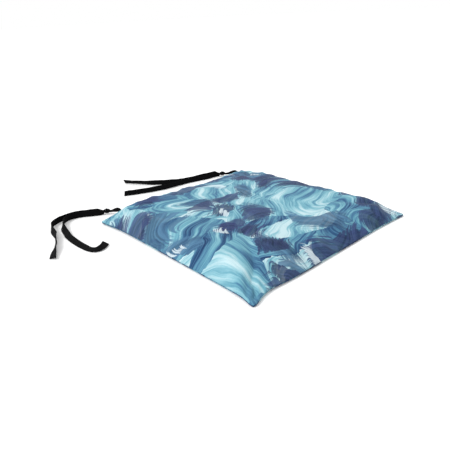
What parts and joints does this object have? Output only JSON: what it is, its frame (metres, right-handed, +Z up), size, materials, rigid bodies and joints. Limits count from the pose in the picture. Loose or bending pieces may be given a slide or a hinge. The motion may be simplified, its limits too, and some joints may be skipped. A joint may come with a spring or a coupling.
{
  "type": "chair seat pad",
  "caption": "Square fibre-filled chair seat pad with a knife-edge seam and two folded tape ties at the rear corners; cushions a seat and ties to the chair back.",
  "frame": {"origin": "on the surface the pad lies on, under the centre of the pad", "axes": "+Z up through the crown, +Y towards the rear edge with the ties, +X along that edge"},
  "size_m": [0.5437, 0.581, 0.035],
  "materials": {
    "printed_cloth": "plain-weave polyester with a marbled blue and aqua print, faint satin sheen",
    "fibre_fill": "loose white polyester fibre",
    "seam_thread": "matt blue sewing thread",
    "black_tape": "matt black woven twill tape",
    "black_thread": "matt black sewing thread"
  },
  "bodies": {
    "pad": {"top_panel": "printed_cloth", "bottom_panel": "printed_cloth", "fibre_fill": "fibre_fill", "seam_thread_front": "seam_thread", "seam_thread_left": "seam_thread", "seam_thread_right": "seam_thread", "seam_thread_rear_left": "seam_thread", "seam_thread_rear_right": "seam_thread", "closure_stitch": "seam_thread", "tie_anchor_left": "black_tape", "tie_anchor_right": "black_tape", "bar_tack_left": "black_thread", "bar_tack_right": "black_thread"},
    "tie_left": {"tie_root_left": "black_tape", "tie_knot_left": "black_tape", "tie_tail_left_a": "black_tape", "tie_tail_left_b": "black_tape"},
    "tie_right": {"tie_root_right": "black_tape", "tie_knot_right": "black_tape", "tie_tail_right_a": "black_tape", "tie_tail_right_b": "black_tape"}
  },
  "joints": [
    {"name": "tie_left_lift", "type": "hinge", "parent": "pad", "child": "tie_left", "pos_m": [-0.158, 0.2038, 0.0102], "axis": [0.5269, 0.8499, 0], "range_deg": [0, 90]},
    {"name": "tie_right_lift", "type": "hinge", "parent": "pad", "child": "tie_right", "pos_m": [0.166, 0.2038, 0.0096], "axis": [0.493, 0.87, 0], "range_deg": [0, 90]}
  ]
}
